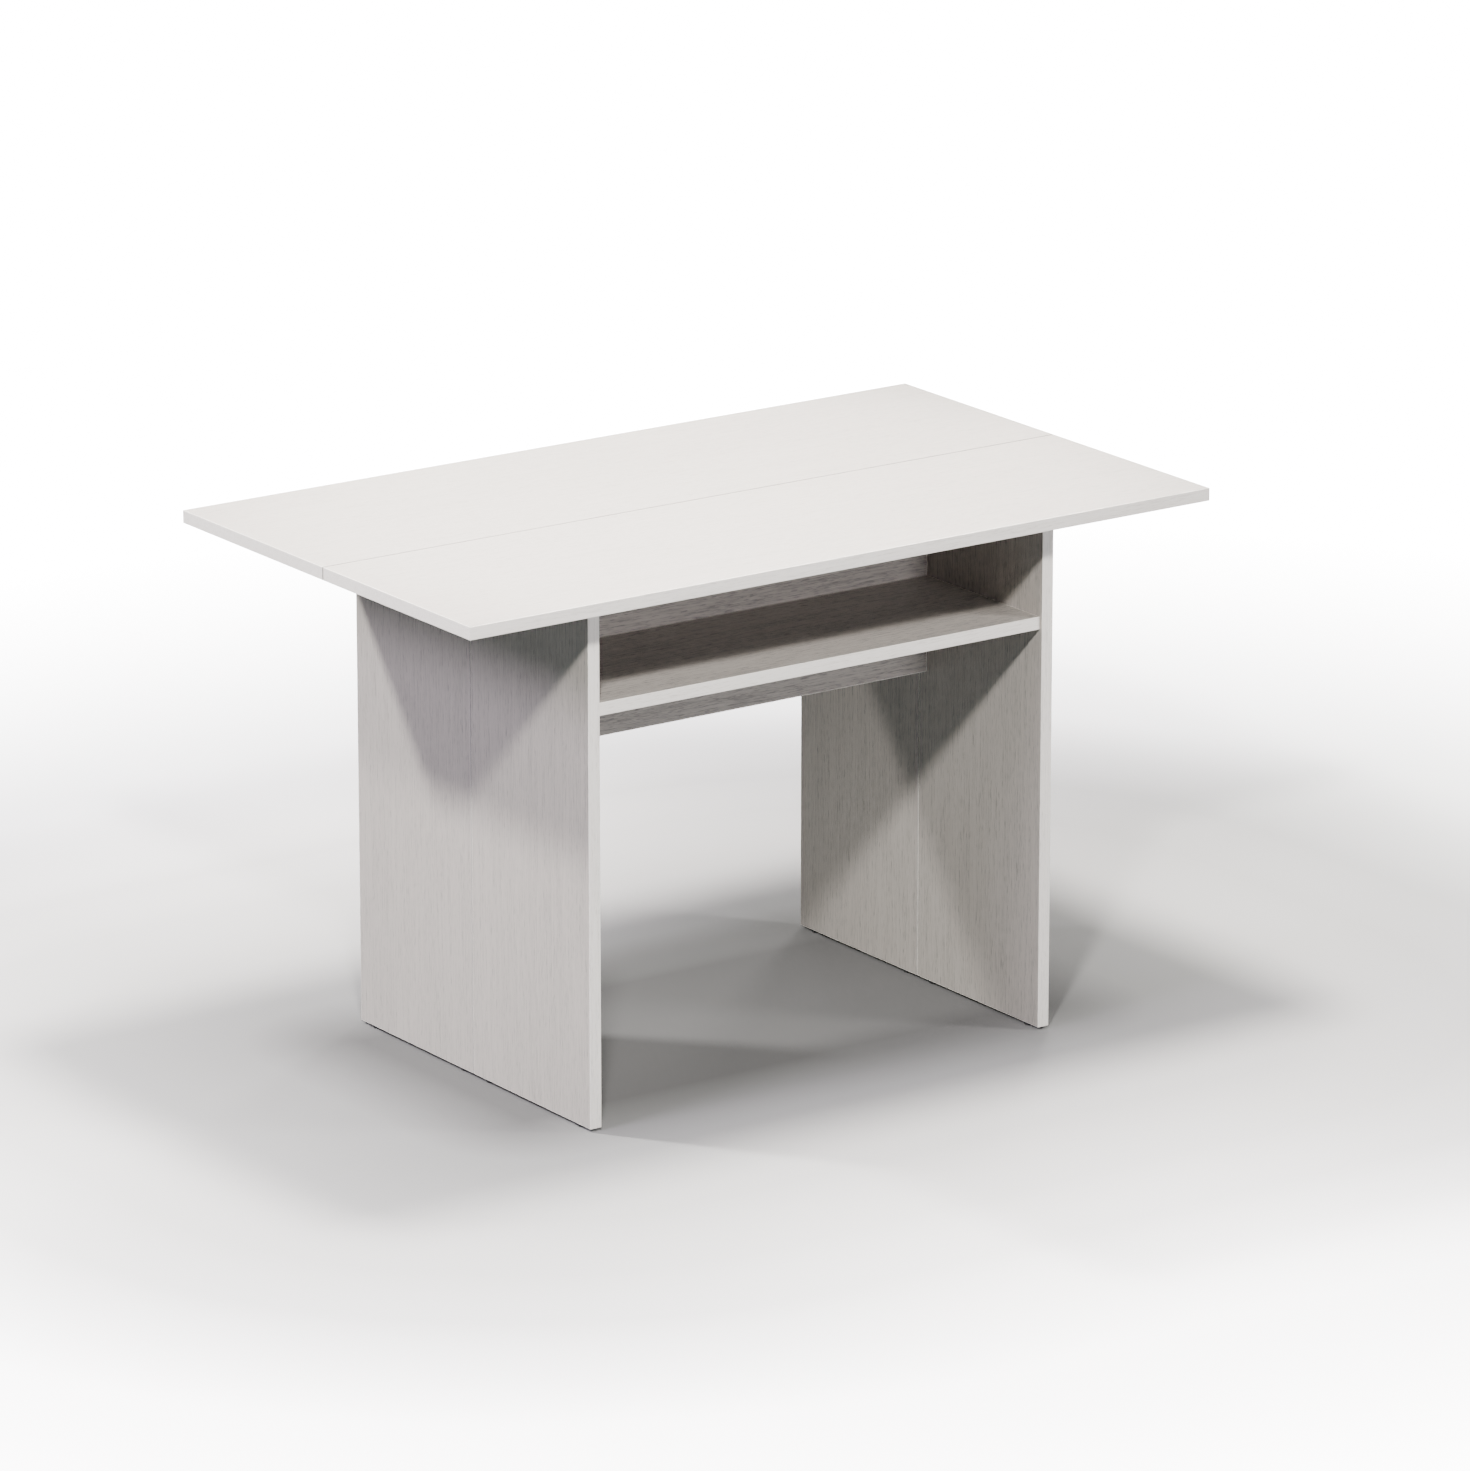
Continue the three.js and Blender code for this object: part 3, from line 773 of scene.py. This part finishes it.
def add_floor():
    """A pale floor with painted shade near and under the object, that whitens away from the object and throws
    little light back up.
    """
    material, nodes = new_material("studio_floor")
    place = nodes.add("ShaderNodeTexCoord").outputs["Object"]
    outside = place
    for operation, other in (("ABSOLUTE", None), ("SUBTRACT", FLOOR_BOX), ("MAXIMUM", (0.0, 0.0, 0.0))):
        inputs = {0: outside, 1: other} if other else {0: outside}
        outside = nodes.add("ShaderNodeVectorMath", inputs, operation=operation).outputs[0]
    away = nodes.add("ShaderNodeVectorMath", {0: outside}, operation="LENGTH").outputs["Value"]
    # Painted shade: the floor's tone is darkest under the object and lighter with distance from it.
    share = nodes.ramp(nodes.maths("DIVIDE", away, FLOOR_REACH), FLOOR_PAINTED_SHADE)
    tone = nodes.add(
        "ShaderNodeVectorMath", {0: share, "Scale": FLOOR_PEAK}, operation="SCALE"
    ).outputs[0]
    shown = nodes.add("ShaderNodeBsdfDiffuse", {"Color": tone}).outputs[0]
    near, far = FLOOR_GLOW
    strength = nodes.add(
        "ShaderNodeMapRange",
        {"Value": away, "From Min": near, "From Max": far, "To Min": 0.0, "To Max": WHITE},
        interpolation_type="SMOOTHSTEP",
    ).outputs["Result"]
    glow = nodes.add("ShaderNodeEmission", {"Strength": strength}).outputs[0]
    bounce = nodes.add("ShaderNodeBsdfDiffuse", {"Color": FLOOR_BOUNCE}).outputs[0]
    both = nodes.add("ShaderNodeAddShader", {0: shown, 1: glow}).outputs[0]
    seen = nodes.add("ShaderNodeLightPath").outputs["Is Camera Ray"]
    surface = nodes.add("ShaderNodeMixShader", {0: seen, 1: bounce, 2: both}).outputs[0]
    nodes.add("ShaderNodeOutputMaterial", {"Surface": surface})
    bm = bmesh.new()
    bmesh.ops.create_grid(bm, x_segments=1, y_segments=1, size=FLOOR_HALF)
    floor = to_object("floor", bm, material)


def add_lamp(name, place, width, power, aim, cone, colour):
    light = bpy.data.lights.new(name, "SPOT" if cone else "AREA")
    light.energy = power
    light.color = colour
    if cone:
        light.shadow_soft_size = width / 2
        light.spot_size = math.radians(cone[0])
        light.spot_blend = cone[1]
    else:
        light.shape = "DISK"
        light.size = width
    lamp = bpy.data.objects.new(name, light)
    bpy.context.scene.collection.objects.link(lamp)
    lamp.location = place
    lamp.rotation_euler = (Vector(place) - Vector(aim)).to_track_quat("Z", "Y").to_euler()


def add_world():
    world = bpy.data.worlds.new("studio")
    bpy.context.scene.world = world
    world.use_nodes = True
    nodes = Nodes(world.node_tree)
    seen = nodes.add("ShaderNodeLightPath").outputs["Is Camera Ray"]
    soft = nodes.add("ShaderNodeBackground", {"Color": WORLD_COLOUR, "Strength": WORLD_LIGHT})
    white = nodes.add("ShaderNodeBackground", {"Color": PURE_WHITE, "Strength": WHITE})
    mixed = nodes.add("ShaderNodeMixShader", {0: seen, 1: soft.outputs[0], 2: white.outputs[0]})
    nodes.add("ShaderNodeOutputWorld", {"Surface": mixed.outputs[0]})


def add_camera():
    data = bpy.data.cameras.new("camera")
    data.sensor_width = SENSOR
    data.lens = LENS
    data.clip_end = 4 * FLOOR_HALF
    camera = bpy.data.objects.new("camera", data)
    bpy.context.scene.collection.objects.link(camera)
    azimuth, elevation = math.radians(CAMERA_AZIMUTH), math.radians(CAMERA_ELEVATION)
    back = Vector((
        math.sin(azimuth) * math.cos(elevation),
        -math.cos(azimuth) * math.cos(elevation),
        math.sin(elevation),
    ))
    camera.location = CAMERA_TARGET + back * CAMERA_DISTANCE
    camera.rotation_euler = back.to_track_quat("Z", "Y").to_euler()
    bpy.context.scene.camera = camera


add_floor()
for lamp in LAMPS:
    add_lamp(*lamp)
add_world()
add_camera()
